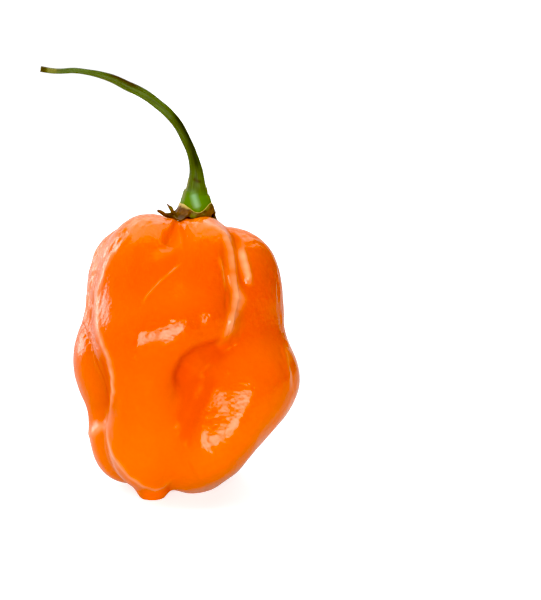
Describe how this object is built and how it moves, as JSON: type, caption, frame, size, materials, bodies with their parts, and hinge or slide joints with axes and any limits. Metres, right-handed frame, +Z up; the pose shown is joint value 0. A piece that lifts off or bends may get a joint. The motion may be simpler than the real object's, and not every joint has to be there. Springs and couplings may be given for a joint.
{
  "type": "chilli pepper",
  "caption": "Upright lobed chilli pepper fruit with deep folds, a withered calyx collar and a curved stem; a fresh vegetable prop that stands on its blossom end.",
  "frame": {"origin": "on the resting plane, under the middle of the overall box", "axes": "+Z up from the blossom end through the crown, -Y towards the viewer's side with the front leg of the fruit, -X towards the side the stem bends to"},
  "size_m": [0.0452, 0.0376, 0.0758],
  "materials": {
    "fruit": "glossy, slightly translucent orange skin",
    "stem": "satin green with dark streaks and a brown dry end",
    "calyx": "matt brown, withered"
  },
  "bodies": {
    "root": {"fruit": "fruit", "stem": "stem", "calyx": "calyx"}
  },
  "joints": []
}
